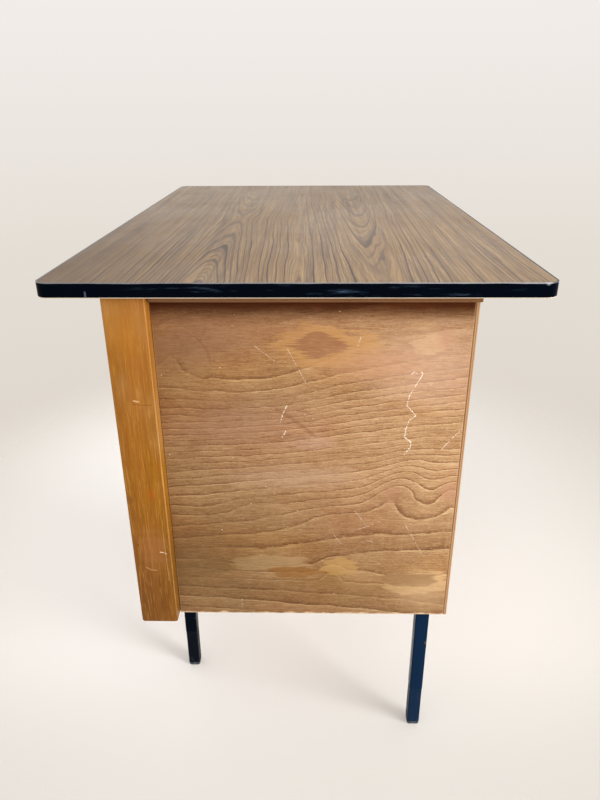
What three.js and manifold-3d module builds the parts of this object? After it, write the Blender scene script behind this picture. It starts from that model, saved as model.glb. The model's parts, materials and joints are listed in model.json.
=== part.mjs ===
// A writing desk: a laminated tabletop with a plastic edge, a three-drawer wooden pedestal at one
// end, and a frame of square steel tube that carries the other end and the pedestal's floor.
// Millimetres. The origin is on the floor under the centre of the tabletop. +X runs along the desk
// towards the pedestal, +Y from the drawer fronts to the rear, and +Z up.

import * as THREE from "three";
import { mergeVertices } from "three/addons/utils/BufferGeometryUtils.js";
import Module from "manifold-3d";

// ---- Driving dimensions ----

const GAP = 0.3; // between pieces that are glued, screwed or welded together

const LENGTH = 950; // along X
const DEPTH = 600; // along Y
const HEIGHT = 750; // floor to the top of the laminate
const TOP_THICKNESS = 18;
const TOP_CORNER_RADIUS = 16;
const LAMINATE_THICKNESS = 1.2;
const BACKING_THICKNESS = 0.9;
const EDGE_BAND_THICKNESS = 2;
const BACKING_INSET = 0.5; // from the edge band's outer face

const STILE_OUTER_X = 465; // outer face of the stile beside the desk's end
const STILE_THICKNESS = 31.5; // along X
const STILE_WIDTH = 52.2; // along Y
const STILE_CORNER_RADIUS = 4;
const OPENING_WIDTH = 262; // between the two stiles and between the two side panels
const PANEL_THICKNESS = 12;
const PEDESTAL_FRONT_Y = -227.6;
const PEDESTAL_REAR_Y = 218.2;
const PEDESTAL_BOTTOM_Z = 244.5;
const BACK_PANEL_THICKNESS = 4.5;
const TOP_BOARD_THICKNESS = 10;
const TOP_BOARD_OVERHANG = 10; // past the side panels
const TOP_BOARD_REAR_OVERHANG = 0.5; // past the back panel
const FLOOR_BOARD_THICKNESS = 12;
const FRONT_RAIL_THICKNESS = 20; // along Y
const TOP_RAIL_HEIGHT = 26;
const BOTTOM_RAIL_HEIGHT = 34;

const DRAWER_NAMES = ["lower_drawer", "middle_drawer", "upper_drawer"];
const DRAWER_FRONT_THICKNESS = 18;
const DRAWER_FRONT_SETBACK = 2; // behind the stiles' front faces
const DRAWER_FRONT_CLEARANCE = 1.5; // to a stile
const DRAWER_SPACING = 2.5; // between fronts, and between a front and a rail
const DRAWER_BOX_CLEARANCE = 2; // to a side panel
const DRAWER_BOX_REAR_Y = 190;
const DRAWER_BOX_RISE = 6; // the box's lower edge above the front's
const DRAWER_SIDE_HEIGHT = 110;
const DRAWER_SIDE_THICKNESS = 12;
const DRAWER_BACK_THICKNESS = 10;
const DRAWER_BACK_DROP = 5; // below the sides' upper edges
const DRAWER_BOTTOM_THICKNESS = 4;
const BOTTOM_GROOVE_RISE = 8; // above the box's lower edge
const BOTTOM_GROOVE_DEPTH = 5;

const RUNNER_HEIGHT = 14;
const RUNNER_THICKNESS = 7.5;
const RUNNER_FRONT_Y = -170;
const RUNNER_REAR_Y = 205;
const RUNNER_GROOVE_RISE = 48; // above the box's lower edge
const RUNNER_GROOVE_HEIGHT = 14.8;
const RUNNER_GROOVE_DEPTH = 6.5;
const RUNNER_LIFT = 0.5; // the runner's underside above the groove's lower wall

const PULL_LENGTH = 104;
const PULL_PROJECTION = 24;
const PULL_THICKNESS = 4;
const PULL_WIDTH = 12;
const PULL_BEND_RADIUS = 11; // to the outside of the bend

const TUBE_WIDTH = 20;
const TUBE_WALL = 1.5;
const TUBE_CORNER_RADIUS = 2;
const FRONT_LEG_Y = -193.5;
const REAR_LEG_Y = 186.7;
const PEDESTAL_FRONT_LEG_X = 302.6;
const FAR_LEG_X = -423;
const FERRULE_TOP_Z = 80;
const FERRULE_WIDTH = 19.4;
const FERRULE_SPIGOT_LENGTH = 30;
const FERRULE_SPIGOT_CLEARANCE = 0.3;
const GLIDE_HEIGHT = 6;
const GLIDE_ROUNDING = 2;
const GLIDE_STEM_RADIUS = 3;
const GLIDE_STEM_LENGTH = 12;

const BRACKET_THICKNESS = 2;
const BRACKET_REACH = 48; // along the rail
const BRACKET_DROP = 40; // down the face it is screwed to

const CORNER_SEGMENTS = 6;
const TABLETOP_CORNER_SEGMENTS = 12;

// ---- Positions that follow from them ----

const TOP_UNDERSIDE_Z = HEIGHT - TOP_THICKNESS;
const BACKING_TOP_Z = TOP_UNDERSIDE_Z + BACKING_THICKNESS;
const FRAME_TOP_Z = TOP_UNDERSIDE_Z - GAP; // everything that carries the top ends here
const TOP_BOARD_UNDERSIDE_Z = FRAME_TOP_Z - TOP_BOARD_THICKNESS;

const OPENING_OUTER_X = STILE_OUTER_X - STILE_THICKNESS;
const OPENING_INNER_X = OPENING_OUTER_X - OPENING_WIDTH;
const PEDESTAL_CENTRE_X = (OPENING_OUTER_X + OPENING_INNER_X) / 2;
const BETWEEN_SIDES = [OPENING_INNER_X + GAP, OPENING_OUTER_X - GAP];
const STILE_REAR_Y = PEDESTAL_FRONT_Y + STILE_WIDTH;
const RAIL_REAR_Y = PEDESTAL_FRONT_Y + FRONT_RAIL_THICKNESS;
const BACK_PANEL_FRONT_Y = PEDESTAL_REAR_Y - BACK_PANEL_THICKNESS;

const SUBFRAME_UNDERSIDE_Z = PEDESTAL_BOTTOM_Z + 3.5;
const SUBFRAME_TOP_Z = SUBFRAME_UNDERSIDE_Z + TUBE_WIDTH;
const FLOOR_BOARD_TOP_Z = SUBFRAME_TOP_Z + GAP + FLOOR_BOARD_THICKNESS;
const BOTTOM_RAIL_Z = [SUBFRAME_UNDERSIDE_Z, SUBFRAME_UNDERSIDE_Z + BOTTOM_RAIL_HEIGHT];
const TOP_RAIL_Z = [FRAME_TOP_Z - TOP_RAIL_HEIGHT, FRAME_TOP_Z];

const DRAWER_PITCH = (TOP_RAIL_Z[0] - BOTTOM_RAIL_Z[1] - DRAWER_SPACING) / DRAWER_NAMES.length;
const DRAWER_FRONT_HEIGHT = DRAWER_PITCH - DRAWER_SPACING;
const DRAWER_FRONT_Y = PEDESTAL_FRONT_Y + DRAWER_FRONT_SETBACK;
const DRAWER_BOX_FRONT_Y = DRAWER_FRONT_Y + DRAWER_FRONT_THICKNESS + GAP;
const DRAWER_HALF_WIDTH = OPENING_WIDTH / 2 - DRAWER_BOX_CLEARANCE;

const REAR_LEG_X = BETWEEN_SIDES[1] - TUBE_WIDTH / 2;
const RAIL_AXIS_Z = FRAME_TOP_Z - TUBE_WIDTH / 2;
const SUBFRAME_AXIS_Z = SUBFRAME_TOP_Z - TUBE_WIDTH / 2;

// ---- Materials ----

function finish(color, roughness, metalness) {
  return new THREE.MeshStandardMaterial({ color, roughness, metalness });
}

const walnutLaminate = finish(0x8f7358, 0.38, 0);
const particleBoard = finish(0xb59a70, 0.85, 0);
const backingPaper = finish(0xd9cdbd, 0.75, 0);
const blackPlastic = finish(0x0a1018, 0.2, 0);
const beechPlywood = finish(0xb98a5c, 0.55, 0);
const orangeBeech = finish(0xab7129, 0.35, 0);
const plainPlywood = finish(0xcaa678, 0.65, 0);
const blackSteel = finish(0x0b1624, 0.25, 0.6);
const greyPlastic = finish(0x2c3036, 0.5, 0);

// ---- Joining and cutting solids ----

const wasm = await Module();
wasm.setup();

// A closed geometry as a solid that can be joined to others and cut by them.
function solidOf(geometry) {
  const bare = geometry.clone();
  bare.deleteAttribute("normal");
  bare.deleteAttribute("uv");
  const merged = mergeVertices(bare);
  return new wasm.Manifold(
    new wasm.Mesh({
      numProp: 3,
      vertProperties: merged.getAttribute("position").array,
      triVerts: new Uint32Array(merged.index.array),
    }),
  );
}

function geometryOf(solid) {
  const { vertProperties, triVerts } = solid.getMesh();
  const geometry = new THREE.BufferGeometry();
  geometry.setAttribute("position", new THREE.BufferAttribute(vertProperties, 3));
  geometry.setIndex(new THREE.BufferAttribute(triVerts, 1));
  geometry.computeVertexNormals();
  return geometry;
}

// ---- Outlines and placed pieces ----

// A rectangle with round corners, centred on the origin.
function roundedRectangle(width, depth, radius) {
  const x = width / 2 - radius;
  const y = depth / 2 - radius;
  const shape = new THREE.Shape();
  shape.absarc(x, y, radius, 0, Math.PI / 2);
  shape.absarc(-x, y, radius, Math.PI / 2, Math.PI);
  shape.absarc(-x, -y, radius, Math.PI, 1.5 * Math.PI);
  shape.absarc(x, -y, radius, 1.5 * Math.PI, 2 * Math.PI);
  shape.closePath();
  return shape;
}

function extrude(shape, depth, curveSegments = CORNER_SEGMENTS) {
  return new THREE.ExtrudeGeometry(shape, { depth, curveSegments, bevelEnabled: false });
}

function piece(name, geometry, material, x = 0, y = 0, z = 0) {
  const mesh = new THREE.Mesh(geometry, material);
  mesh.name = name;
  mesh.position.set(x, y, z);
  return mesh;
}

// A rectangular board between the low and high ends given along each axis.
function board(name, material, [x0, x1], [y0, y1], [z0, z1]) {
  const geometry = new THREE.BoxGeometry(x1 - x0, y1 - y0, z1 - z0);
  return piece(name, geometry, material, (x0 + x1) / 2, (y0 + y1) / 2, (z0 + z1) / 2);
}

// A square steel tube, open at both ends. It starts at a point on its axis and runs along X, Y or Z.
function tube(name, axis, length, x, y, z) {
  const section = roundedRectangle(TUBE_WIDTH, TUBE_WIDTH, TUBE_CORNER_RADIUS);
  const boreWidth = TUBE_WIDTH - 2 * TUBE_WALL;
  section.holes.push(roundedRectangle(boreWidth, boreWidth, TUBE_CORNER_RADIUS - TUBE_WALL));
  const mesh = piece(name, extrude(section, length, 3), blackSteel, x, y, z);
  if (axis === "x") mesh.rotation.y = Math.PI / 2;
  if (axis === "y") mesh.rotation.x = -Math.PI / 2;
  return mesh;
}

function group(...children) {
  const made = new THREE.Group();
  made.add(...children);
  return made;
}

// ---- Tabletop ----

function tabletopOutline(inset) {
  const radius = TOP_CORNER_RADIUS - inset;
  return roundedRectangle(LENGTH - 2 * inset, DEPTH - 2 * inset, radius);
}

// A layer of the tabletop, held back from its outline by an inset.
function tabletopLayer(name, material, inset, [z0, z1]) {
  const geometry = extrude(tabletopOutline(inset), z1 - z0, TABLETOP_CORNER_SEGMENTS);
  return piece(name, geometry, material, 0, 0, z0);
}

function edgeBand() {
  const outline = tabletopOutline(0);
  outline.holes.push(tabletopOutline(EDGE_BAND_THICKNESS));
  const bandBottomZ = BACKING_TOP_Z + GAP;
  const geometry = extrude(outline, HEIGHT - bandBottomZ, TABLETOP_CORNER_SEGMENTS);
  return piece("tabletop_edge_band", geometry, blackPlastic, 0, 0, bandBottomZ);
}

function tabletop() {
  const insideBand = EDGE_BAND_THICKNESS + GAP;
  const coreTopZ = HEIGHT - LAMINATE_THICKNESS - GAP;
  return group(
    tabletopLayer("tabletop_laminate", walnutLaminate, insideBand, [coreTopZ + GAP, HEIGHT]),
    tabletopLayer("tabletop_core_board", particleBoard, insideBand, [BACKING_TOP_Z + GAP, coreTopZ]),
    tabletopLayer("tabletop_backing_sheet", backingPaper, BACKING_INSET, [TOP_UNDERSIDE_Z, BACKING_TOP_Z]),
    edgeBand(),
  );
}

// ---- Pedestal ----

// A front stile, with its lower corners rounded. Its outline lies in the Y-Z plane.
function stile(name, innerX) {
  const bottomZ = PEDESTAL_BOTTOM_Z;
  const radius = STILE_CORNER_RADIUS;
  const outline = new THREE.Shape();
  outline.moveTo(STILE_REAR_Y, FRAME_TOP_Z);
  outline.lineTo(PEDESTAL_FRONT_Y, FRAME_TOP_Z);
  outline.absarc(PEDESTAL_FRONT_Y + radius, bottomZ + radius, radius, Math.PI, 1.5 * Math.PI);
  outline.absarc(STILE_REAR_Y - radius, bottomZ + radius, radius, 1.5 * Math.PI, 2 * Math.PI);
  outline.closePath();
  const mesh = piece(name, extrude(outline, STILE_THICKNESS), orangeBeech, innerX);
  mesh.rotation.set(Math.PI / 2, Math.PI / 2, 0); // the outline's x and y become +Y and +Z
  return mesh;
}

// The two side panels and what closes the pedestal at its top, floor and rear.
function pedestalCarcass() {
  const panelY = [STILE_REAR_Y + GAP, BACK_PANEL_FRONT_Y - GAP];
  const panelZ = [PEDESTAL_BOTTOM_Z, TOP_BOARD_UNDERSIDE_Z - GAP];
  const outerX = [OPENING_OUTER_X, OPENING_OUTER_X + PANEL_THICKNESS];
  const innerX = [OPENING_INNER_X - PANEL_THICKNESS, OPENING_INNER_X];
  const topBoardX = [innerX[0] - TOP_BOARD_OVERHANG, outerX[1] + TOP_BOARD_OVERHANG];
  const topBoardY = [STILE_REAR_Y + GAP, PEDESTAL_REAR_Y + TOP_BOARD_REAR_OVERHANG];
  const floorY = [RAIL_REAR_Y + GAP, BACK_PANEL_FRONT_Y - GAP];
  const floorZ = [SUBFRAME_TOP_Z + GAP, FLOOR_BOARD_TOP_Z];
  const backX = [innerX[0], outerX[1]];
  const backY = [BACK_PANEL_FRONT_Y, PEDESTAL_REAR_Y];
  return group(
    board("pedestal_outer_side_panel", beechPlywood, outerX, panelY, panelZ),
    board("pedestal_inner_side_panel", beechPlywood, innerX, panelY, panelZ),
    board("pedestal_top_board", beechPlywood, topBoardX, topBoardY, [TOP_BOARD_UNDERSIDE_Z, FRAME_TOP_Z]),
    board("pedestal_floor_board", plainPlywood, BETWEEN_SIDES, floorY, floorZ),
    board("pedestal_back_panel", beechPlywood, backX, backY, panelZ),
  );
}

function pedestalFront() {
  const railY = [PEDESTAL_FRONT_Y, RAIL_REAR_Y];
  return group(
    stile("pedestal_outer_stile", OPENING_OUTER_X),
    stile("pedestal_inner_stile", OPENING_INNER_X - STILE_THICKNESS),
    board("pedestal_top_rail", orangeBeech, BETWEEN_SIDES, railY, TOP_RAIL_Z),
    board("pedestal_bottom_rail", orangeBeech, BETWEEN_SIDES, railY, BOTTOM_RAIL_Z),
  );
}

// ---- Drawers, each built about the pedestal's centre line with z = 0 at its front's lower edge ----

function drawerBaseZ(index) {
  return BOTTOM_RAIL_Z[1] + DRAWER_SPACING + index * DRAWER_PITCH;
}

// A drawer side's section: side +1 is the one nearer the desk's end. The outer groove takes the
// runner and the inner groove takes the drawer's bottom.
function drawerSideSection(side) {
  const outer = DRAWER_HALF_WIDTH;
  const inner = outer - DRAWER_SIDE_THICKNESS;
  const runnerTop = RUNNER_GROOVE_RISE + RUNNER_GROOVE_HEIGHT;
  const bottomTop = BOTTOM_GROOVE_RISE + DRAWER_BOTTOM_THICKNESS + 2 * GAP;
  const corners = [
    [outer, 0],
    [outer, RUNNER_GROOVE_RISE],
    [outer - RUNNER_GROOVE_DEPTH, RUNNER_GROOVE_RISE],
    [outer - RUNNER_GROOVE_DEPTH, runnerTop],
    [outer, runnerTop],
    [outer, DRAWER_SIDE_HEIGHT],
    [inner, DRAWER_SIDE_HEIGHT],
    [inner, bottomTop],
    [inner + BOTTOM_GROOVE_DEPTH, bottomTop],
    [inner + BOTTOM_GROOVE_DEPTH, BOTTOM_GROOVE_RISE],
    [inner, BOTTOM_GROOVE_RISE],
    [inner, 0],
  ];
  return new THREE.Shape(corners.map(([x, z]) => new THREE.Vector2(side * x, z)));
}

function drawerSide(name, side) {
  const length = DRAWER_BOX_REAR_Y - DRAWER_BOX_FRONT_Y;
  const geometry = extrude(drawerSideSection(side), length);
  const mesh = piece(name, geometry, plainPlywood, 0, DRAWER_BOX_REAR_Y, DRAWER_BOX_RISE);
  mesh.rotation.x = Math.PI / 2; // the section's y becomes +Z, and it runs forwards from the rear
  return mesh;
}

// A steel strap bent into a bow, with its two feet on the drawer front.
function drawerPull(name) {
  const half = PULL_LENGTH / 2;
  const bendX = half - PULL_BEND_RADIUS;
  const bendY = PULL_BEND_RADIUS - PULL_PROJECTION;
  const insideRadius = PULL_BEND_RADIUS - PULL_THICKNESS;
  const outline = new THREE.Shape();
  outline.moveTo(-half, 0);
  outline.absarc(-bendX, bendY, PULL_BEND_RADIUS, Math.PI, 1.5 * Math.PI);
  outline.absarc(bendX, bendY, PULL_BEND_RADIUS, 1.5 * Math.PI, 2 * Math.PI);
  outline.lineTo(half, 0);
  outline.lineTo(half - PULL_THICKNESS, 0);
  outline.absarc(bendX, bendY, insideRadius, 2 * Math.PI, 1.5 * Math.PI, true);
  outline.absarc(-bendX, bendY, insideRadius, 1.5 * Math.PI, Math.PI, true);
  outline.lineTo(PULL_THICKNESS - half, 0);
  outline.closePath();
  const bottomZ = (DRAWER_FRONT_HEIGHT - PULL_WIDTH) / 2;
  const mesh = piece(name, extrude(outline, PULL_WIDTH), blackSteel, 0, DRAWER_FRONT_Y - GAP, bottomZ);
  return mesh;
}

function drawer(name, baseZ) {
  const frontX = OPENING_WIDTH / 2 - DRAWER_FRONT_CLEARANCE;
  const frontY = [DRAWER_FRONT_Y, DRAWER_FRONT_Y + DRAWER_FRONT_THICKNESS];
  const bottomX = DRAWER_HALF_WIDTH - DRAWER_SIDE_THICKNESS + BOTTOM_GROOVE_DEPTH - GAP;
  const bottomLowZ = DRAWER_BOX_RISE + BOTTOM_GROOVE_RISE + GAP;
  const bottomTopZ = bottomLowZ + DRAWER_BOTTOM_THICKNESS;
  const backX = DRAWER_HALF_WIDTH - DRAWER_SIDE_THICKNESS - GAP;
  const backY = [DRAWER_BOX_REAR_Y - DRAWER_BACK_THICKNESS, DRAWER_BOX_REAR_Y];
  const backTopZ = DRAWER_BOX_RISE + DRAWER_SIDE_HEIGHT - DRAWER_BACK_DROP;
  const made = group(
    board(`${name}_front`, orangeBeech, [-frontX, frontX], frontY, [0, DRAWER_FRONT_HEIGHT]),
    drawerSide(`${name}_outer_side`, 1),
    drawerSide(`${name}_inner_side`, -1),
    board(`${name}_back`, plainPlywood, [-backX, backX], backY, [bottomTopZ + GAP, backTopZ]),
    board(
      `${name}_bottom`,
      plainPlywood,
      [-bottomX, bottomX],
      [DRAWER_BOX_FRONT_Y, DRAWER_BOX_REAR_Y],
      [bottomLowZ, bottomTopZ],
    ),
    drawerPull(`${name}_pull`),
  );
  made.position.set(PEDESTAL_CENTRE_X, 0, baseZ);
  return made;
}

// The two runners of one drawer, screwed to the side panels.
function runners(drawerName, baseZ) {
  const lowZ = baseZ + DRAWER_BOX_RISE + RUNNER_GROOVE_RISE + RUNNER_LIFT;
  const y = [RUNNER_FRONT_Y, RUNNER_REAR_Y];
  const z = [lowZ, lowZ + RUNNER_HEIGHT];
  const [innerFace, outerFace] = BETWEEN_SIDES;
  return group(
    board(`${drawerName}_outer_runner`, orangeBeech, [outerFace - RUNNER_THICKNESS, outerFace], y, z),
    board(`${drawerName}_inner_runner`, orangeBeech, [innerFace, innerFace + RUNNER_THICKNESS], y, z),
  );
}

// ---- Legs, and the tube frame that they belong to ----

// The plastic lower end of a leg: a square sleeve the width of the tube, with a spigot that plugs
// the tube's bore and a hole for the glide's stem.
function footFerrule(name, x, y) {
  const bottomZ = GLIDE_HEIGHT + GAP;
  const bodyHeight = FERRULE_TOP_Z - GAP - bottomZ;
  const spigotWidth = TUBE_WIDTH - 2 * TUBE_WALL - 2 * FERRULE_SPIGOT_CLEARANCE;
  const body = extrude(roundedRectangle(FERRULE_WIDTH, FERRULE_WIDTH, TUBE_CORNER_RADIUS), bodyHeight, 3);
  const spigot = extrude(
    roundedRectangle(spigotWidth, spigotWidth, TUBE_CORNER_RADIUS),
    FERRULE_SPIGOT_LENGTH + GAP,
    3,
  ).translate(0, 0, bodyHeight - GAP);
  const boreDepth = GLIDE_STEM_LENGTH + 1;
  const bore = new THREE.CylinderGeometry(GLIDE_STEM_RADIUS + GAP, GLIDE_STEM_RADIUS + GAP, 2 * boreDepth, 16);
  bore.rotateX(Math.PI / 2);
  const made = solidOf(body).add(solidOf(spigot)).subtract(solidOf(bore));
  return piece(name, geometryOf(made), blackPlastic, x, y, bottomZ);
}

// The glide under a ferrule: a rounded square pad with a stem.
function footGlide(name, x, y) {
  const flatWidth = FERRULE_WIDTH - 2 * GLIDE_ROUNDING;
  const pad = new THREE.ExtrudeGeometry(roundedRectangle(flatWidth, flatWidth, TUBE_CORNER_RADIUS), {
    depth: GLIDE_HEIGHT - 2 * GLIDE_ROUNDING,
    bevelThickness: GLIDE_ROUNDING,
    bevelSize: GLIDE_ROUNDING,
    bevelSegments: 4,
    curveSegments: 3,
  }).translate(0, 0, GLIDE_ROUNDING);
  const stemHeight = GLIDE_HEIGHT + GLIDE_STEM_LENGTH - GLIDE_ROUNDING;
  const stem = new THREE.CylinderGeometry(GLIDE_STEM_RADIUS, GLIDE_STEM_RADIUS, stemHeight, 16)
    .rotateX(Math.PI / 2)
    .translate(0, 0, GLIDE_ROUNDING + stemHeight / 2);
  return piece(name, geometryOf(solidOf(pad).add(solidOf(stem))), greyPlastic, x, y);
}

function leg(name, x, y, topZ) {
  return group(
    tube(`${name}_leg`, "z", topZ - FERRULE_TOP_Z, x, y, FERRULE_TOP_Z),
    footFerrule(`${name}_ferrule`, x, y),
    footGlide(`${name}_glide`, x, y),
  );
}

// The rectangle of tubes under the pedestal's floor, hidden by the side panels.
function subframe() {
  const [innerX, outerX] = BETWEEN_SIDES;
  const frontY = FRONT_LEG_Y + TUBE_WIDTH / 2 + GAP;
  const crossLength = REAR_LEG_Y - TUBE_WIDTH / 2 - GAP - frontY;
  const innerAxisX = innerX + TUBE_WIDTH / 2;
  return group(
    tube("subframe_front_tube", "x", outerX - innerX, innerX, FRONT_LEG_Y, SUBFRAME_AXIS_Z),
    tube("subframe_rear_tube", "x", outerX - innerX, innerX, REAR_LEG_Y, SUBFRAME_AXIS_Z),
    tube("subframe_outer_tube", "y", crossLength, REAR_LEG_X, frontY, SUBFRAME_AXIS_Z),
    tube("subframe_inner_tube", "y", crossLength, innerAxisX, frontY, SUBFRAME_AXIS_Z),
  );
}

// A bent steel strap that holds the end of a rail to the upright face at faceX.
function railBracket(name, faceX, y) {
  const outline = new THREE.Shape();
  outline.moveTo(0, 0);
  outline.lineTo(-BRACKET_REACH, 0);
  outline.lineTo(-BRACKET_REACH, -BRACKET_THICKNESS);
  outline.lineTo(-BRACKET_THICKNESS, -BRACKET_THICKNESS);
  outline.lineTo(-BRACKET_THICKNESS, -BRACKET_DROP);
  outline.lineTo(0, -BRACKET_DROP);
  outline.closePath();
  const topZ = FRAME_TOP_Z - TUBE_WIDTH - GAP;
  const rearY = y + TUBE_WIDTH / 2;
  const mesh = piece(name, extrude(outline, TUBE_WIDTH), blackSteel, faceX - GAP, rearY, topZ);
  mesh.rotation.x = Math.PI / 2;
  return mesh;
}

// The tube across the far legs and the two rails that run from it to the pedestal.
function topFrame() {
  const railStartX = FAR_LEG_X + TUBE_WIDTH / 2 + GAP;
  const stileFaceX = OPENING_INNER_X - STILE_THICKNESS;
  const panelFaceX = OPENING_INNER_X - PANEL_THICKNESS;
  const frontRailLength = stileFaceX - GAP - railStartX;
  const rearRailLength = panelFaceX - TOP_BOARD_OVERHANG - GAP - railStartX;
  const crossStartY = FRONT_LEG_Y - TUBE_WIDTH / 2;
  const crossLength = REAR_LEG_Y - FRONT_LEG_Y + TUBE_WIDTH;
  return group(
    tube("far_cross_tube", "y", crossLength, FAR_LEG_X, crossStartY, RAIL_AXIS_Z),
    tube("front_rail_tube", "x", frontRailLength, railStartX, FRONT_LEG_Y, RAIL_AXIS_Z),
    tube("rear_rail_tube", "x", rearRailLength, railStartX, REAR_LEG_Y, RAIL_AXIS_Z),
    railBracket("front_rail_bracket", stileFaceX, FRONT_LEG_Y),
    railBracket("rear_rail_bracket", panelFaceX, REAR_LEG_Y),
  );
}

function legFrame() {
  const shortLegTopZ = SUBFRAME_UNDERSIDE_Z - GAP;
  const longLegTopZ = FRAME_TOP_Z - TUBE_WIDTH - GAP;
  return group(
    leg("pedestal_front", PEDESTAL_FRONT_LEG_X, FRONT_LEG_Y, shortLegTopZ),
    leg("pedestal_rear", REAR_LEG_X, REAR_LEG_Y, shortLegTopZ),
    leg("far_front", FAR_LEG_X, FRONT_LEG_Y, longLegTopZ),
    leg("far_rear", FAR_LEG_X, REAR_LEG_Y, longLegTopZ),
    subframe(),
    topFrame(),
  );
}

const desk = group(tabletop(), pedestalCarcass(), pedestalFront(), legFrame());
DRAWER_NAMES.forEach((name, index) => {
  desk.add(runners(name, drawerBaseZ(index)), drawer(name, drawerBaseZ(index)));
});

export default desk;
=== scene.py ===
"""A writing desk with a three-drawer pedestal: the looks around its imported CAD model. Metres, +Z up."""

import json
import math
import random
from functools import partial

import bmesh
import bpy
from mathutils import Matrix, Vector

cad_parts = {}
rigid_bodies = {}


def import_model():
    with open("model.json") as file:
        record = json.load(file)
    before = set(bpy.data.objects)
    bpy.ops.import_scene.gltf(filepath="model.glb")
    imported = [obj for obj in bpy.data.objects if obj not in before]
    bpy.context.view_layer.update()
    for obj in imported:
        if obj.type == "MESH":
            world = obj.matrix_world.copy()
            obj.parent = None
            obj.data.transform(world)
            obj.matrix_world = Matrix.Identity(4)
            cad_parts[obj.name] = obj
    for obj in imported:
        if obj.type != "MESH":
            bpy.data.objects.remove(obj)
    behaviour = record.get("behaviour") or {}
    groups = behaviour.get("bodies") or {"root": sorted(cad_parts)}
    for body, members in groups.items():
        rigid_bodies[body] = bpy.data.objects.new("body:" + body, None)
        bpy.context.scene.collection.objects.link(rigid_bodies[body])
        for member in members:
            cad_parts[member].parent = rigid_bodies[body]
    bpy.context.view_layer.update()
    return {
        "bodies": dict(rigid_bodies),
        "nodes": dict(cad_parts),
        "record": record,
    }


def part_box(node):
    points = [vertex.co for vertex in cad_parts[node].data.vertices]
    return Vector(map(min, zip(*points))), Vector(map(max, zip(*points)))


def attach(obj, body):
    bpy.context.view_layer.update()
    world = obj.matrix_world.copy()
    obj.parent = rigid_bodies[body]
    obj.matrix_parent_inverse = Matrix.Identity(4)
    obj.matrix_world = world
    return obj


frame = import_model()
NODES = frame["nodes"]
SLOT_OF = {row["node"]: row["material_slot"] for row in frame["record"]["subparts"]}
DRAWERS = [name for name in frame["bodies"] if name.endswith("drawer")]

random.seed(1962)

# ---- Building a material ----

AXES = "xyz"


def linear(colour):
    """A colour given as 8-bit sRGB, as the linear colour that a node takes."""
    shares = [value / 255 for value in colour]
    return (*(s / 12.92 if s <= 0.04045 else ((s + 0.055) / 1.055) ** 2.4 for s in shares), 1.0)


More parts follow.
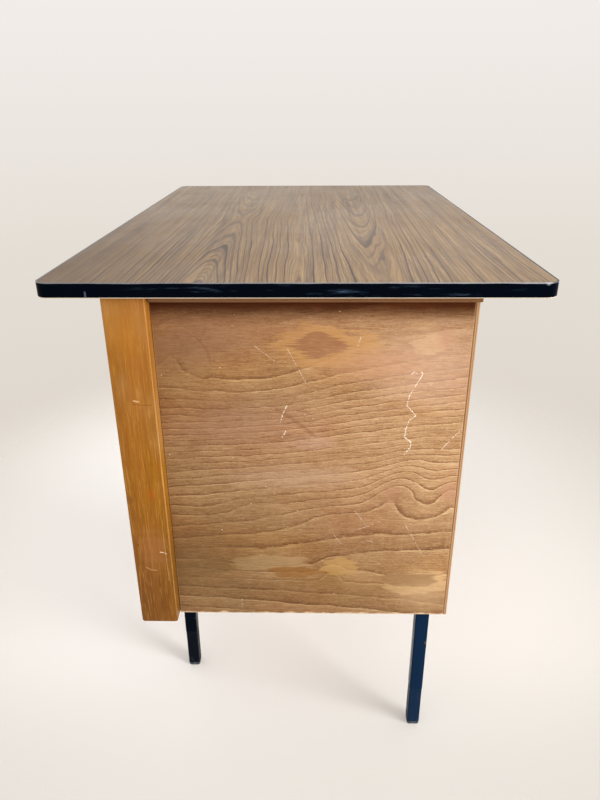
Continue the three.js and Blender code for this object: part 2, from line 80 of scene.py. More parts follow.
class Nodes:
    """A tree of nodes. The methods add nodes and return their outputs. Inputs are sockets or plain
    values, and a plain colour is 8-bit sRGB."""

    def __init__(self, tree):
        self.tree = tree

    def node(self, kind, inputs, **settings):
        made = self.tree.nodes.new("ShaderNode" + kind)
        for key, value in settings.items():
            setattr(made, key, value)
        for key, value in inputs.items():
            self.feed(made.inputs[key], value)
        return made

    def feed(self, socket, value):
        if isinstance(value, bpy.types.NodeSocket):
            self.tree.links.new(value, socket)
        else:
            socket.default_value = linear(value) if socket.type == "RGBA" else value

    def math(self, operation, *values, clamp=False):
        inputs = dict(enumerate(values))
        return self.node("Math", inputs, operation=operation, use_clamp=clamp).outputs[0]

    def plus(self, first, second):
        return self.math("ADD", first, second)

    def minus(self, first, second):
        return self.math("SUBTRACT", first, second)

    def times(self, first, *others):
        for other in others:
            first = self.math("MULTIPLY", first, other)
        return first

    def vector(self, operation, *values, output=0):
        return self.node("VectorMath", dict(enumerate(values)), operation=operation).outputs[output]

    def combine(self, x, y, z=0.0):
        return self.node("CombineXYZ", {0: x, 1: y, 2: z}).outputs[0]

    def split(self, vector):
        return self.node("SeparateXYZ", {0: vector}).outputs

    def noise(self, where, stretch, detail=2.0, roughness=0.5):
        """Noise from 0 to 1, with stretch its number of features in a metre along each axis."""
        scaled = self.vector("MULTIPLY", where, stretch)
        inputs = {"Vector": scaled, "Scale": 1.0, "Detail": detail, "Roughness": roughness}
        return self.node("TexNoise", inputs).outputs[0]

    def remap(self, value, low, high, to_low=0.0, to_high=1.0):
        """The value carried smoothly from low..high to to_low..to_high, and held at the ends."""
        inputs = {0: value, 1: low, 2: high, 3: to_low, 4: to_high}
        return self.node("MapRange", inputs, interpolation_type="SMOOTHSTEP").outputs[0]

    def fall(self, value, low, high, most=1.0):
        """The most where the value is under low, falling smoothly to 0 where it is over high."""
        return self.remap(value, low, high, most, 0.0)

    def blots(self, where, stretch, detail, low, high, most=1.0, roughness=0.5):
        """Noise as patches: 0 where it is under low, rising smoothly to the most where it is over high."""
        return self.remap(self.noise(where, stretch, detail, roughness), low, high, 0.0, most)

    def rescale(self, value, low, high, to_low, to_high):
        """The value carried evenly from low..high to to_low..to_high, and on past the ends."""
        inputs = {0: value, 1: low, 2: high, 3: to_low, 4: to_high}
        return self.node("MapRange", inputs, clamp=False).outputs[0]

    def wobble(self, where, stretch, size, detail=2.0, roughness=0.5):
        """Noise that wanders either side of 0, by about half its size."""
        return self.math("MULTIPLY_ADD", self.noise(where, stretch, detail, roughness), size, -0.5 * size)

    def chance(self, value):
        """A random number from 0 to 1, the same for all values that round down to one whole number."""
        whole = self.math("FLOOR", value)
        return self.node("TexWhiteNoise", {"W": whole}, noise_dimensions="1D").outputs[0]

    def cells(self, where, scale):
        """Random cells: how far a point is from its cell's centre, and a random shade for each cell."""
        made = self.node("TexVoronoi", {"Vector": where, "Scale": scale})
        return made.outputs[0], self.node("SeparateColor", {0: made.outputs[1]}).outputs[0]

    def ramp(self, value, *stops):
        """A colour that runs through (position, colour) stops."""
        made = self.node("ValToRGB", {0: value})
        elements = made.color_ramp.elements
        while len(elements) < len(stops):
            elements.new(0.5)
        for element, (position, colour) in zip(elements, stops):
            element.position = position
            element.color = linear(colour)
        return made.outputs[0]

    def mix(self, factor, first, second, blend="MIX"):
        inputs = {0: factor, 6: first, 7: second}
        return self.node("Mix", inputs, data_type="RGBA", blend_type=blend).outputs[2]

    def darken(self, colour, factor, tint):
        """Colour multiplied by a tint, as far as factor says."""
        return self.mix(factor, colour, tint, "MULTIPLY")


class Material(Nodes):
    """A material of the part, with the place of each of its points in the part's frame, in metres."""

    def __init__(self, name):
        self.material = bpy.data.materials.new(name)
        self.material.use_nodes = True
        super().__init__(self.material.node_tree)
        self.surface = self.tree.nodes["Principled BSDF"]
        self.point = self.node("TexCoord", {}).outputs["Object"]
        self.x, self.y, self.z = self.split(self.point)

    def facing(self, axis):
        """How squarely the surface faces along an axis of the part, from 0 to 1."""
        normal = self.node("TexCoord", {}).outputs["Normal"]
        return self.math("ABSOLUTE", self.split(normal)[AXES.index(axis)])

    def bump(self, height, distance, strength=1.0):
        inputs = {"Height": height, "Distance": distance, "Strength": strength}
        self.feed(self.surface.inputs["Normal"], self.node("Bump", inputs).outputs[0])

    def finish(self, colour, roughness, specular=0.5, metallic=0.0):
        sockets = self.surface.inputs
        self.feed(sockets["Base Color"], colour)
        self.feed(sockets["Roughness"], roughness)
        sockets["Specular IOR Level"].default_value = specular
        sockets["Metallic"].default_value = metallic
        return self.material


def grain_point(mat, along, seed):
    """The point as (along the grain, across it, across it), shifted so that each board has its own grain."""
    across = [axis for axis in AXES if axis != along]
    ordered = mat.combine(*(getattr(mat, axis) for axis in (along, *across)))
    return mat.vector("ADD", ordered, (3.1 * seed, 1.7 * seed, 2.3 * seed))


def axis_of(node, choose):
    """The axis along which a node is longest or thinnest, with max or min to choose it."""
    low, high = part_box(node)
    size = high - low
    return AXES[choose(range(3), key=lambda i: size[i])]


def edge_distance(mat, node):
    """How far a point on a box-shaped node is from the nearest of its edges."""
    low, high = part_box(node)
    centre, half = (low + high) / 2, (high - low) / 2
    offset = mat.vector("ABSOLUTE", mat.vector("SUBTRACT", mat.point, tuple(centre)))
    inside = mat.vector("SUBTRACT", tuple(half), offset)
    x, y, z = mat.split(inside)
    smaller, larger = mat.math("MINIMUM", x, y), mat.math("MAXIMUM", x, y)
    return mat.math("MAXIMUM", smaller, mat.math("MINIMUM", larger, z))


def polyline_mask(mat, u, v, points, width, ragged=0.0008):
    """1 on a line through (u, v) points and 0 away from it, with a broken, uneven edge."""
    shift = mat.wobble(mat.point, (160, 160, 160), 2 * ragged, 3)
    here = mat.combine(mat.plus(u, shift), mat.minus(v, shift))
    nearest = None
    for (u0, v0), (u1, v1) in zip(points, points[1:]):
        run = Vector((u1 - u0, v1 - v0, 0))
        offset = mat.vector("SUBTRACT", here, (u0, v0, 0))
        share = mat.vector("DOT_PRODUCT", offset, tuple(run / run.length_squared), output=1)
        share = mat.math("ADD", share, 0.0, clamp=True)
        foot = mat.vector("SCALE", tuple(run))
        mat.feed(foot.node.inputs["Scale"], share)
        distance = mat.vector("DISTANCE", offset, foot, output=1)
        nearest = distance if nearest is None else mat.math("MINIMUM", nearest, distance)
    return mat.fall(nearest, 0.4 * width, width)


# ---- Wood ----


def straight_grain(mat, point, dark, mid, light):
    """The colour, height and ray flecks of straight-grained beech whose grain runs along the point's x."""
    sway = mat.wobble(point, (1.6, 9, 9), 0.022)
    bent = mat.vector("ADD", point, mat.combine(0.0, sway, sway))
    bands = mat.noise(bent, (1.3, 46, 46), 4, 0.6)
    fibres = mat.noise(bent, (10, 480, 480), 3, 0.6)
    tone = mat.plus(mat.times(bands, 0.7), mat.times(fibres, 0.3))
    colour = mat.ramp(tone, (0.34, dark), (0.5, mid), (0.66, light))
    flecks = mat.blots(bent, (120, 1100, 1100), 1, 0.6, 0.7)
    height = mat.minus(fibres, mat.times(flecks, 0.5))
    return colour, height, flecks


def ply_stripes(mat, node, plies):
    """1 on the darker, cross-grained layers of a plywood board's edge, and 1 where there is edge."""
    axis = axis_of(node, min)
    i = AXES.index(axis)
    low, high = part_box(node)
    layer = mat.rescale(getattr(mat, axis), low[i], high[i], 0.0, float(plies))
    layer = mat.plus(layer, mat.wobble(mat.point, (90, 90, 90), 0.3))
    stripe = mat.remap(mat.math("PINGPONG", layer, 1.0), 0.42, 0.58)
    on_edge = mat.fall(mat.facing(axis), 0.35, 0.75)
    return stripe, on_edge


ORANGE_DARK = (122, 71, 9)
ORANGE_MID = (147, 93, 13)
ORANGE_LIGHT = (168, 112, 24)
VENEER_DARK = (160, 117, 79)
VENEER_MID = (200, 162, 121)
VENEER_LIGHT = (212, 176, 134)
VENEER_PALE = (235, 205, 162)
# Painted shade: the top board's beech in the dark brown of the shade under the tabletop.
SHADED_BEECH_COLOURS = ((98, 62, 36), (122, 82, 50), (140, 98, 62))


def lacquered_beech(node, seed):
    """Solid beech under an orange lacquer that has worn pale at the edges, with painted shade towards the
    floor.
    """
    mat = Material(f"lacquered_beech_{node}")
    point = grain_point(mat, axis_of(node, max), seed)
    colour, height, flecks = straight_grain(mat, point, ORANGE_DARK, ORANGE_MID, ORANGE_LIGHT)
    colour = mat.darken(colour, mat.times(flecks, 0.35), (190, 140, 90))
    clouds = mat.noise(point, (3.5, 16, 16), 3)
    colour = mat.mix(mat.remap(clouds, 0.45, 0.75, 0.0, 0.45), colour, (168, 104, 48))
    handled = mat.blots(point, (5, 11, 11), 3, 0.55, 0.72, 0.35)
    colour = mat.mix(handled, colour, (196, 150, 96))
    edge = mat.plus(edge_distance(mat, node), mat.times(clouds, 0.0022))
    worn = mat.fall(edge, 0.0008, 0.0034, 0.7)
    colour = mat.mix(worn, colour, (186, 148, 92))
    # Painted shade: darker towards the floor.
    low_down = mat.plus(mat.z, mat.wobble(point, (6, 12, 12), 0.12, 3))
    colour = mat.darken(colour, mat.fall(low_down, 0.28, 0.52), (200, 194, 196))
    if node == "pedestal_outer_stile":
        colour = stile_marks(mat, colour)
    dents = mat.blots(point, (34, 60, 60), 1, 0.72, 0.78)
    colour = mat.mix(mat.times(dents, 0.5), colour, (120, 72, 30))
    mat.bump(mat.minus(height, dents), 0.00012, 0.5)
    roughness = mat.remap(clouds, 0.3, 0.7, 0.26, 0.42)
    return mat.finish(colour, roughness, specular=0.2)


def stile_marks(mat, colour):
    """What use has left on the stile that faces out: redder and duller places, a crack, nicks and scuffs."""
    u, v = mat.y, mat.z
    flat = mat.combine(u, v)
    hairs = mat.blots(mat.point, (900, 900, 34), 3, 0.5, 0.7, 0.3, 0.6)
    colour = mat.mix(hairs, colour, (214, 160, 74))
    colour = soft_patches(mat, colour, flat, STILE_PATCHES)
    for points, width, tint, strength in STILE_SCRATCHES:
        line = mat.times(polyline_mask(mat, u, v, points, width), strength)
        colour = mat.mix(line, colour, tint)
    return colour


def shaded_beech(node, seed):
    """The board that the tabletop rests on, its beech given the dark brown of the shade under the tabletop
    as painted shade.
    """
    mat = Material(f"shaded_beech_{node}")
    point = grain_point(mat, "y", seed)
    colour, height, flecks = straight_grain(mat, point, *SHADED_BEECH_COLOURS)
    colour = mat.darken(colour, mat.times(flecks, 0.4), (190, 150, 120))
    scuffs = mat.blots(mat.point, (30, 30, 30), 4, 0.6, 0.72, 0.5, 0.7)
    colour = mat.mix(scuffs, colour, (176, 136, 98))
    mat.bump(height, 0.0001, 0.5)
    return mat.finish(colour, mat.remap(scuffs, 0.0, 0.5, 0.42, 0.6), specular=0.25)


def plain_beech(node, seed):
    """Unstained beech or plywood for what is inside: sealed, pale, with ply layers on its edges."""
    mat = Material(f"plain_beech_{node}")
    point = grain_point(mat, axis_of(node, max), seed)
    palette = ((176, 134, 90), (204, 166, 118), (222, 190, 144))
    colour, height, flecks = straight_grain(mat, point, *palette)
    colour = mat.darken(colour, mat.times(flecks, 0.4), (180, 140, 100))
    stripe, on_edge = ply_stripes(mat, node, 3)
    colour = mat.mix(mat.times(on_edge, stripe), colour, (150, 108, 68))
    grime = mat.blots(point, (6, 12, 12), 4, 0.5, 0.8, 0.4)
    colour = mat.darken(colour, grime, (168, 140, 108))
    mat.bump(height, 0.0001, 0.5)
    return mat.finish(colour, mat.remap(grime, 0.0, 0.4, 0.5, 0.72), specular=0.35)


OUTER_PANEL = "pedestal_outer_side_panel"

# A hill bends the rings of a veneer round a place (u, v) on the face: its radii along and across the
# grain, its height in rings, and how far its axis leans.
OUTER_PANEL_HILLS = [
    (-0.04, 0.6, 0.11, 0.07, 1.6, 0.0),
    (0.135, 0.466, 0.032, 0.044, -2.1, 0.35),
    (0.208, 0.456, 0.02, 0.036, -1.2, 0.0),
    (-0.125, 0.428, 0.035, 0.016, 0.5, 0.0),
    (-0.055, 0.43, 0.025, 0.014, -0.5, 0.0),
    (0.05, 0.415, 0.06, 0.025, -1.0, 0.0),
    (-0.03, 0.34, 0.08, 0.02, 1.1, 0.0),
    (0.048, 0.322, 0.016, 0.02, -1.0, 0.0),
    (0.16, 0.322, 0.05, 0.014, 0.9, 0.0),
    (-0.155, 0.65, 0.012, 0.04, -0.3, 0.0),
    (-0.118, 0.655, 0.01, 0.036, 0.35, 0.0),
]
INNER_PANEL_HILLS = [
    (-0.06, 0.61, 0.08, 0.04, 1.8, 0.0),
    (0.09, 0.43, 0.03, 0.04, -2.8, -0.3),
    (-0.11, 0.36, 0.07, 0.02, -1.2, 0.0),
]
BACK_PANEL_HILLS = [
    (0.25, 0.58, 0.03, 0.04, -2.6, 0.3),
    (0.38, 0.42, 0.08, 0.03, 1.6, 0.0),
    (0.22, 0.33, 0.05, 0.02, -1.4, 0.0),
]

# Patches on the outer side panel: centre (y, z), radii, tint (8-bit sRGB) and how far it covers. A
# ragged one has the length of its torn teeth after its radii.
RAGGED_PATCHES = [
    ((0.036, 0.664), (0.064, 0.026), 0.12, (204, 156, 100), 0.75),
    ((0.028, 0.665), (0.032, 0.015), 0.08, (162, 114, 82), 0.85),
    ((0.16, 0.666), (0.018, 0.012), 0.04, (218, 184, 136), 0.6),
    ((-0.174, 0.65), (0.02, 0.024), 0.03, (186, 144, 100), 0.5),
    ((-0.124, 0.648), (0.016, 0.022), 0.03, (186, 144, 100), 0.5),
    ((-0.15, 0.326), (0.056, 0.018), 0.03, (148, 110, 64), 0.65),
    ((-0.034, 0.337), (0.05, 0.016), 0.04, (206, 172, 128), 0.6),
    ((-0.005, 0.32), (0.046, 0.009), 0.03, (162, 108, 48), 0.7),
    ((0.058, 0.33), (0.024, 0.015), 0.03, (216, 172, 108), 0.6),
    ((0.172, 0.303), (0.052, 0.02), 0.04, (226, 188, 140), 0.6),
    ((0.158, 0.308), (0.042, 0.012), 0.05, (160, 124, 86), 0.85),
    ((0.206, 0.459), (0.013, 0.014), 0.02, (186, 138, 110), 0.55),
    ((0.206, 0.248), (0.012, 0.004), 0.02, (148, 92, 62), 0.6),
]
SOFT_PATCHES = [
    ((0.165, 0.64), (0.11, 0.08), (226, 188, 164), 0.5),
    ((0.18, 0.28), (0.06, 0.035), (224, 188, 146), 0.45),
    ((0.126, 0.452), (0.016, 0.03), (176, 128, 100), 0.6),
    ((0.15, 0.69), (0.026, 0.01), (214, 178, 132), 0.4),
    ((-0.01, 0.478), (0.13, 0.026), (208, 176, 150), 0.4),
    ((0.02, 0.53), (0.04, 0.016), (204, 166, 146), 0.4),
    ((0.18, 0.672), (0.014, 0.022), (206, 156, 132), 0.5),
    ((-0.14, 0.33), (0.12, 0.12), (142, 112, 80), 0.45),
    ((-0.07, 0.56), (0.13, 0.05), (168, 124, 104), 0.4),
    ((-0.13, 0.67), (0.1, 0.05), (162, 120, 96), 0.6),
    ((-0.06, 0.69), (0.11, 0.03), (170, 122, 88), 0.5),
    ((0.09, 0.64), (0.09, 0.03), (206, 156, 122), 0.5),
    ((0.06, 0.3), (0.16, 0.05), (170, 126, 74), 0.3),
]

# Scratches on the outer side panel, as (y, z) points, with their half width.
WHITE_SCRATCHES = [
    ([(0.141, 0.627), (0.146, 0.6305), (0.15, 0.628)], 0.0007),
    ([(0.153, 0.632), (0.157, 0.628), (0.1418, 0.5986), (0.1395, 0.585)], 0.0008),
    ([(0.1395, 0.585), (0.1518, 0.5705), (0.1432, 0.5632), (0.14, 0.551), (0.139, 0.5395)], 0.001),
    ([(0.139, 0.5395), (0.1477, 0.5327), (0.1473, 0.525), (0.14, 0.5136)], 0.0011),
    ([(-0.0127, 0.584), (-0.0186, 0.5714), (-0.021, 0.561)], 0.0009),
    ([(-0.0136, 0.5495), (-0.0195, 0.5386)], 0.0008),
    ([(0.211, 0.5495), (0.201, 0.5386), (0.188, 0.5214)], 0.0006),
]
FAINT_SCRATCHES = [
    ([(-0.0514, 0.6645), (-0.0241, 0.642)], 0.0006),
    ([(-0.0105, 0.66), (0.0114, 0.616)], 0.0006),
    ([(0.078, 0.676), (0.075, 0.6645)], 0.0007),
    ([(0.051, 0.385), (0.06, 0.371)], 0.0007),
    ([(0.1464, 0.4077), (0.1736, 0.3555)], 0.0006),
    ([(0.078, 0.426), (0.094, 0.403)], 0.0006),
    ([(0.082, 0.395), (0.104, 0.403)], 0.0006),
    ([(-0.083, 0.2714), (-0.083, 0.2555)], 0.0007),
    ([(0.094, 0.378), (0.107, 0.373)], 0.0006),
]
DARK_SMUDGES = [
    ([(-0.026, 0.578), (-0.006, 0.566), (0.01, 0.552), (0.021, 0.542)], 0.0035),
    ([(-0.119, 0.672), (-0.109, 0.657), (-0.106, 0.64)], 0.0022),
    ([(-0.134, 0.682), (-0.119, 0.672)], 0.0016),
    ([(-0.152, 0.584), (-0.145, 0.578)], 0.003),
    ([(-0.0945, 0.594), (-0.083, 0.5805)], 0.0018),
    ([(-0.149, 0.473), (-0.144, 0.469)], 0.0026),
    ([(0.216, 0.2565), (0.2165, 0.254)], 0.0026),
]

# The same on the outer stile. Each scratch has its points, half width, tint and how far it covers.
STILE_PATCHES = [
    ((-0.193, 0.462), (0.008, 0.016), (160, 84, 16), 0.55),
    ((-0.198, 0.372), (0.026, 0.05), (164, 108, 62), 0.4),
    ((-0.23, 0.5), (0.012, 0.15), (150, 104, 40), 0.4),
    ((-0.205, 0.69), (0.034, 0.05), (166, 104, 8), 0.5),
]
STILE_SCRATCHES = [
    ([(-0.204, 0.5945), (-0.19, 0.593), (-0.18, 0.5935)], 0.0007, (112, 66, 20), 0.7),
    ([(-0.202, 0.599), (-0.196, 0.5975)], 0.0013, (222, 178, 126), 0.7),
    ([(-0.22, 0.3815), (-0.22, 0.3805)], 0.0012, (70, 34, 16), 0.9),
    ([(-0.212, 0.343), (-0.205, 0.3385), (-0.198, 0.338)], 0.001, (206, 158, 108), 0.5),
    ([(-0.19, 0.369), (-0.186, 0.3685)], 0.0011, (230, 200, 168), 0.8),
    ([(-0.184, 0.368), (-0.182, 0.366)], 0.0009, (230, 200, 168), 0.7),
    ([(-0.1835, 0.4), (-0.182, 0.32)], 0.0007, (214, 176, 128), 0.3),
]


RINGS_PER_METRE = 24.0
SPREAD_BELOW = 0.46  # the level below which they run on at MORE_PER_METRE as well
MORE_PER_METRE = 22.0
CROWDED = (0.43, 0.65)  # the levels between which MORE_CROWDED rings are added
MORE_CROWDED = 12.0
LEAN_HEIGHTS = (0.25, 0.40)  # the rings lean from -LEAN at the lower one to LEAN at the upper one
LEAN = 0.10


def veneer_rings(mat, u, v, hills):
    """How many rings of the rotary-cut veneer lie below the point (u, v) of a face, and that point."""
    flat = mat.combine(u, v)
    tilt = mat.remap(v, *LEAN_HEIGHTS, -LEAN, LEAN)
    level = mat.minus(v, mat.times(tilt, u))
    level = mat.plus(level, mat.wobble(flat, (6, 9, 1), 0.010))
    level = mat.plus(level, mat.wobble(flat, (34, 60, 1), 0.0055, 3))
    rings = mat.times(level, RINGS_PER_METRE)
    low_down = mat.math("MINIMUM", mat.minus(level, SPREAD_BELOW), 0.0)
    rings = mat.plus(rings, mat.times(low_down, MORE_PER_METRE))
    rings = mat.plus(rings, mat.remap(level, *CROWDED, 0.0, MORE_CROWDED))
    for hill_u, hill_v, radius_u, radius_v, height, lean in hills:
        dv = mat.minus(v, hill_v)
        du = mat.minus(mat.minus(u, hill_u), mat.times(dv, lean))
        along = mat.math("POWER", mat.math("DIVIDE", du, radius_u), 2.0)
        across = mat.math("POWER", mat.math("DIVIDE", dv, radius_v), 2.0)
        bell = mat.math("EXPONENT", mat.times(mat.plus(along, across), -1.0))
        rings = mat.plus(rings, mat.times(bell, height))
    return mat.plus(rings, mat.wobble(flat, (30, 620, 1), 0.2, 3, 0.65)), flat


def veneer_colour(mat, u, v, hills):
    """Rotary-cut beech veneer: each wavy band runs up from a dark line to a thin pale one. Short flecks."""
    rings, flat = veneer_rings(mat, u, v, hills)
    foot = ((0.0, VENEER_DARK), (0.04, VENEER_DARK))
    middle = ((0.22, VENEER_MID), (0.84, VENEER_LIGHT))
    top = ((0.93, VENEER_PALE), (0.975, VENEER_PALE), (1.0, VENEER_DARK))
    band = mat.ramp(mat.math("FRACT", rings), *foot, *middle, *top)
    faded = mat.blots(flat, (9, 16, 1), 3, 0.42, 0.66, 0.5)
    faded = mat.math("MAXIMUM", faded, mat.remap(v, 0.61, 0.66, 0.0, 0.7))
    band = mat.mix(faded, band, VENEER_MID)
    chance = mat.chance(rings)
    contrast = mat.remap(v, 0.34, 0.50, 0.8, 0.4)
    band = mat.darken(band, mat.times(chance, contrast), (214, 202, 184))
    streaks = mat.blots(flat, (46, 330, 1), 3, 0.38, 0.66, 0.5, 0.6)
    band = mat.darken(band, streaks, (212, 196, 180))
    fibres = mat.noise(flat, (24, 900, 1), 3, 0.6)
    band = mat.darken(band, mat.remap(fibres, 0.38, 0.68, 0.0, 0.6), (206, 188, 170))
    flecks = mat.blots(flat, (260, 1500, 1), 1, 0.6, 0.72)
    band = mat.darken(band, mat.times(flecks, 0.8), (172, 130, 104))
    blotches = mat.blots(flat, (18, 46, 1), 4, 0.35, 0.7, 0.6, 0.6)
    band = mat.darken(band, blotches, (226, 214, 204))
    grit = mat.blots(flat, (190, 520, 1), 3, 0.48, 0.74, 0.4, 0.7)
    band = mat.mix(grit, band, (226, 194, 156))
    height = mat.minus(mat.times(fibres, 0.6), flecks)
    return band, height, flat


def radii_away(mat, place, centre, radius):
    """How many radii (along, across) a place on a face is from a centre."""
    offset = mat.vector("SUBTRACT", place, (*centre, 0))
    return mat.vector("LENGTH", mat.vector("DIVIDE", offset, (*radius, 1)), output=1)


def soft_patches(mat, colour, flat, patches):
    """Lays tints on a face, each whole at its centre and fading unevenly over its radii."""
    for centre, radius, tint, strength in patches:
        distance = radii_away(mat, flat, centre, radius)
        uneven = mat.plus(distance, mat.times(mat.noise(flat, (14, 130, 1), 4), 0.9))
        patch = mat.times(mat.fall(uneven, 0.55, 1.5), strength)
        colour = mat.mix(patch, colour, tint)
    return colour


def ragged_patch(mat, u, v, centre, radius, teeth):
    """1 on a patch where the knife left one ring for the next, its ends torn into teeth along the grain."""
    flat = mat.combine(u, v)
    torn = mat.plus(u, mat.wobble(flat, (10, 260, 1), teeth, 3, 0.6))
    torn = mat.plus(torn, mat.wobble(flat, (16, 55, 1), 1.5 * radius[0]))
    across = mat.plus(v, mat.wobble(flat, (22, 60, 1), 1.8 * radius[1], 3))
    distance = radii_away(mat, mat.combine(torn, across), centre, radius)
    return mat.fall(distance, 0.88, 1.12)


def worn_panel(node, along, hills, tone):
    """A side or back panel: veneer under thin, tired varnish, with ply layers on its edges."""
    mat = Material(f"veneer_{node}")
    u, v = getattr(mat, along), mat.z
    colour, height, flat = veneer_colour(mat, u, v, hills)

    rosy = mat.blots(flat, (4, 7, 1), 3, 0.42, 0.62, 0.5)
    colour = mat.darken(colour, rosy, (240, 218, 214))
    elsewhere = mat.vector("ADD", flat, (5, 3, 0))
    amber = mat.blots(elsewhere, (3, 5, 1), 2, 0.48, 0.66, 0.6)
    colour = mat.darken(colour, amber, (252, 232, 186))
    colour = mat.darken(colour, 1.0, tone)
    if node == OUTER_PANEL:
        colour = panel_marks(mat, colour, flat, u, v)

    stripe, on_edge = ply_stripes(mat, node, 5)
    layers = mat.ramp(stripe, (0.3, (188, 148, 108)), (0.7, (146, 104, 72)))
    colour = mat.mix(on_edge, colour, layers)
    edge = mat.plus(edge_distance(mat, node), mat.times(rosy, 0.002))
    colour = mat.mix(mat.fall(edge, 0.0, 0.0022, 0.4), colour, (190, 158, 120))
    mat.bump(height, 0.00012, 0.55)
    gloss = mat.remap(mat.noise(flat, (9, 14, 1), 4), 0.35, 0.7, 0.42, 0.62)
    return mat.finish(colour, gloss, specular=0.12)


OVERHANG_SHADOW_HEIGHTS = (0.688, 0.718)  # where the painted shadow of the tabletop's overhang starts on the outer side panel, and where it is darkest
CHIPPED_HEIGHT = 0.0035  # of the veneer's chipped lower edge


def panel_marks(mat, colour, flat, u, v):
    """What makes the panel that faces out its own: torn rings, faded places, painted shade towards its lower
    left, a painted shadow under the tabletop's overhang, scratches and specks.
    """
    for centre, radius, teeth, tint, strength in RAGGED_PATCHES:
        patch = mat.times(ragged_patch(mat, u, v, centre, radius, teeth), strength)
        colour = mat.mix(patch, colour, tint)
    colour = soft_patches(mat, colour, flat, SOFT_PATCHES)
    strokes = mat.noise(flat, (70, 620, 1), 4, 0.7)
    colour = mat.darken(colour, mat.remap(strokes, 0.50, 0.68, 0.0, 0.32), (196, 176, 160))
    colour = mat.mix(mat.remap(strokes, 0.50, 0.34, 0.0, 0.13), colour, (240, 214, 178))
    chalk = mat.blots(flat, (60, 150, 1), 5, 0.6, 0.72, 0.3, 0.75)
    colour = mat.mix(chalk, colour, (206, 180, 156))
    # Painted shade: the panel darker towards its lower left, away from the light.
    light_falloff = mat.plus(mat.times(u, 1.1), mat.times(v, 0.9))
    light_falloff = mat.plus(light_falloff, mat.wobble(flat, (5, 7, 1), 0.16, 3))
    colour = mat.darken(colour, mat.fall(light_falloff, 0.15, 0.76), (200, 196, 184))
    colour = mat.darken(colour, mat.remap(v, 0.50, 0.66), (234, 230, 224))
    # Painted shadow of the tabletop's overhang across the top of the panel.
    overhang_shadow_line = mat.plus(v, mat.wobble(flat, (9, 40, 1), 0.012, 3))
    colour = mat.darken(colour, mat.remap(overhang_shadow_line, *OVERHANG_SHADOW_HEIGHTS), (116, 72, 8))
    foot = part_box(OUTER_PANEL)[0].z
    chipped = mat.plus(v, mat.wobble(flat, (70, 70, 1), 0.009, 3))
    chipped = mat.fall(chipped, foot, foot + CHIPPED_HEIGHT, 0.75)
    colour = mat.mix(chipped, colour, (226, 200, 164))

    for points, width in DARK_SMUDGES:
        smudge = mat.times(polyline_mask(mat, u, v, points, width, 0.004), 0.4)
        colour = mat.mix(smudge, colour, (128, 82, 58))
    broken = mat.blots(mat.point, (420, 420, 420), 3, 0.42, 0.57)
    for scratches, strength in ((WHITE_SCRATCHES, 0.9), (FAINT_SCRATCHES, 0.4)):
        for points, width in scratches:
            line = mat.times(polyline_mask(mat, u, v, points, width), broken, strength)
            colour = mat.mix(line, colour, (244, 232, 216))
    from_centre, shade = mat.cells(flat, 95.0)
    few = mat.remap(shade, 0.90, 0.92)
    uneven = mat.plus(from_centre, mat.wobble(flat, (700, 700, 1), 0.16, 2))
    speck = mat.times(mat.fall(uneven, 0.03, 0.09, 0.7), few)
    return mat.mix(speck, colour, (236, 222, 204))


# ---- Laminate, plastics, steel ----

RING_PITCH = 0.0052  # of the printed walnut's main lines
ARCH_NARROWNESS = 0.0036  # an arch is this times its length, square rooted, to each side of its heart
RIGHT_HEART_Y = 0.100
RIGHT_HEART_START_X = -0.46
LEFT_HEART_Y = -0.107
LEFT_HEART_MIDDLE_X = 0.03
LEFT_HEART_HALF_LENGTH = 0.50
WALNUT_DARK = (108, 84, 60)
WALNUT_MID = (148, 120, 84)
WALNUT_LIGHT = (180, 149, 103)
WALNUT_TAWNY = (148, 114, 70)
WALNUT_MAUVE = (110, 86, 76)
WALNUT_LINE = (62, 42, 31)


def heart(mat, across, centre, along):
    """Distance from a log's pith, which runs under the line across = centre and is deeper further along."""
    offset = mat.minus(across, centre)
    depth_squared = mat.math("MAXIMUM", mat.times(along, ARCH_NARROWNESS), 0.0)
    return mat.math("SQRT", mat.plus(mat.math("POWER", offset, 2.0), depth_squared))


